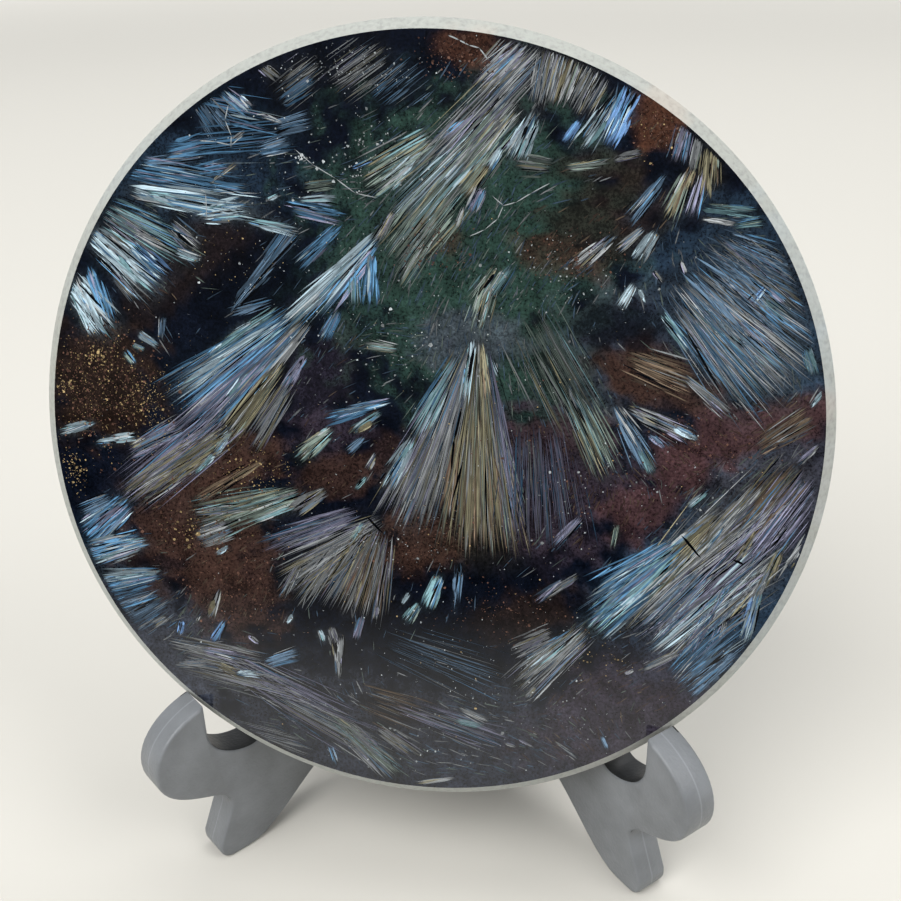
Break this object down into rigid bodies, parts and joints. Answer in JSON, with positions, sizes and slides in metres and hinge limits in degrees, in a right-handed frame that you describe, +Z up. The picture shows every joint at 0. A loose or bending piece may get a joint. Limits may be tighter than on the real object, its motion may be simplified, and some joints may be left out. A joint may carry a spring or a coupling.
{
  "type": "astrophyllite slice",
  "caption": "Polished round astrophyllite slice with silver-blue blade sprays, leaning on a small folding easel stand.",
  "frame": {"origin": "on the floor under the middle of the bounding box", "axes": "+Z up; the polished face looks towards -Y and leans back 13 degrees; +X is the viewer's right"},
  "size_m": [0.0999, 0.0469, 0.1134],
  "materials": {
    "stone": "polished",
    "plastic": "satin moulded",
    "steel": "satin"
  },
  "bodies": {
    "root": {"slice": "stone", "left_arm": "plastic", "right_arm": "plastic", "hinge_pin": "steel"}
  },
  "joints": []
}
